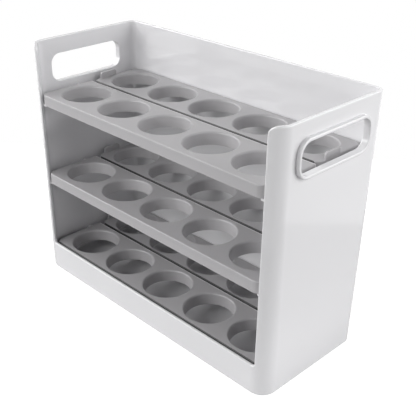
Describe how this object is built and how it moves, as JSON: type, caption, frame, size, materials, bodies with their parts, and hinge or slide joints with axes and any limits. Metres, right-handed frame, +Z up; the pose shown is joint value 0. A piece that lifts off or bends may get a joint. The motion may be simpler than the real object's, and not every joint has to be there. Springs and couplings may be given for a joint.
{
  "type": "egg storage box",
  "caption": "Open-fronted egg storage box with carrying slots; each tier has a fixed back tray of egg rings and a front tray that hinges up out of the way.",
  "frame": {"origin": "centre of the bounding box in plan, at the underside of the housing", "axes": "+X along the length, +Y from the open front towards the back wall, +Z up"},
  "size_m": [0.2674, 0.108, 0.2],
  "materials": {
    "housing_plastic": "smooth moulded",
    "tray_plastic": "satin moulded"
  },
  "bodies": {
    "housing": {"housing": "housing_plastic", "back_tray_top": "tray_plastic", "back_tray_middle": "tray_plastic", "back_tray_bottom": "tray_plastic"},
    "top_flap": {"front_tray_top": "tray_plastic"},
    "middle_flap": {"front_tray_middle": "tray_plastic"},
    "bottom_flap": {"front_tray_bottom": "tray_plastic"}
  },
  "joints": [
    {"name": "top_flap_hinge", "type": "hinge", "parent": "housing", "child": "top_flap", "pos_m": [0, -0.0106, 0.1544], "axis": [-1, 0, 0], "range_deg": [0, 95]},
    {"name": "middle_flap_hinge", "type": "hinge", "parent": "housing", "child": "middle_flap", "pos_m": [0, -0.0106, 0.08514], "axis": [-1, 0, 0], "range_deg": [0, 95]},
    {"name": "bottom_flap_hinge", "type": "hinge", "parent": "housing", "child": "bottom_flap", "pos_m": [0, -0.0106, 0.0186], "axis": [-1, 0, 0], "range_deg": [0, 95]}
  ]
}
